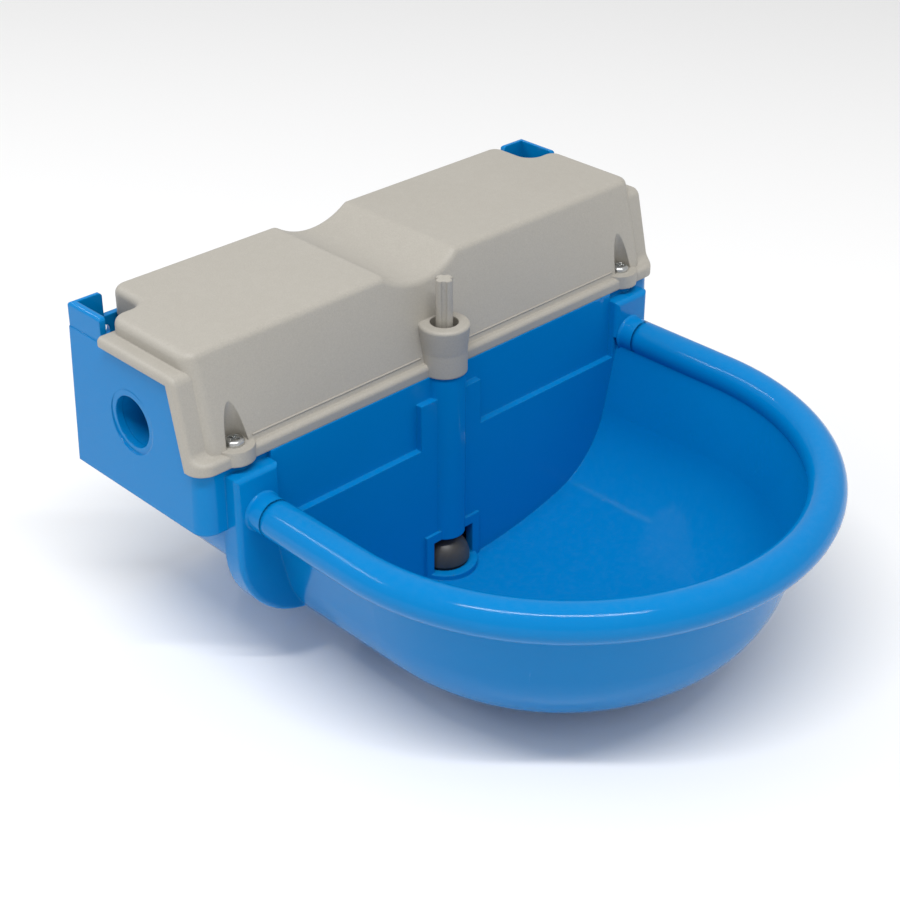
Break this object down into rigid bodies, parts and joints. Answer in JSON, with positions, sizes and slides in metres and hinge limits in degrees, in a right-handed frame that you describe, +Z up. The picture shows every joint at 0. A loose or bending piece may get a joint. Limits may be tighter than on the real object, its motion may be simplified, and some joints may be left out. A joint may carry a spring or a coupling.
{
  "type": "livestock drinking bowl",
  "caption": "Wall-mounted drinking bowl with a float valve in a covered chamber behind the bowl and a pull-up drain plug.",
  "frame": {"origin": "on the wall plane, in the middle of the housing's width, at the bottom edge of the float chamber's end walls", "axes": "+Z up, +Y into the wall, -Y out over the bowl, +X to the right as seen by the animal"},
  "size_m": [0.3235, 0.2993, 0.1673],
  "materials": {
    "housing_blue": "glossy blue injection-moulded plastic",
    "cover_grey": "warm light grey plastic with a fine matt grain",
    "plug_grey": "dark grey plastic",
    "zinc_steel": "bright zinc plate",
    "stainless": "drawn stainless steel",
    "brass": "turned brass",
    "black_rubber": "black rubber",
    "acetal_white": "natural white acetal",
    "float_plastic": "natural polyethylene"
  },
  "bodies": {
    "root": {"housing": "housing_blue", "cover": "cover_grey", "cover_screws": "zinc_steel", "valve_body": "brass", "nozzle_seat": "acetal_white", "valve_cap": "brass", "inlet_washers": "black_rubber", "inlet_backnut": "brass", "pivot_pin": "stainless", "pivot_clip": "stainless"},
    "float_arm": {"float_lever": "brass", "float_rod": "stainless", "float_locknuts": "stainless", "float_shell": "float_plastic", "float_cap": "float_plastic"},
    "piston": {"valve_piston": "acetal_white", "piston_washer": "black_rubber"},
    "drain": {"drain_rod": "cover_grey", "drain_plug": "plug_grey", "drain_seal": "black_rubber"}
  },
  "joints": [
    {"name": "float_swing", "type": "hinge", "parent": "root", "child": "float_arm", "pos_m": [0.096, -0.0455, 0.0258], "axis": [0, 1, 0], "range_deg": [0, 20]},
    {"name": "piston_slide", "type": "slide", "parent": "root", "child": "piston", "axis": [1, 0, 0], "range_m": [0, 0.00384]},
    {"name": "drain_lift", "type": "slide", "parent": "root", "child": "drain", "axis": [0, 0, 1], "range_m": [0, 0.0042]}
  ],
  "couplings": [
    {"joint": "piston_slide", "follows": "float_swing", "m_per_rad": 0.011}
  ]
}
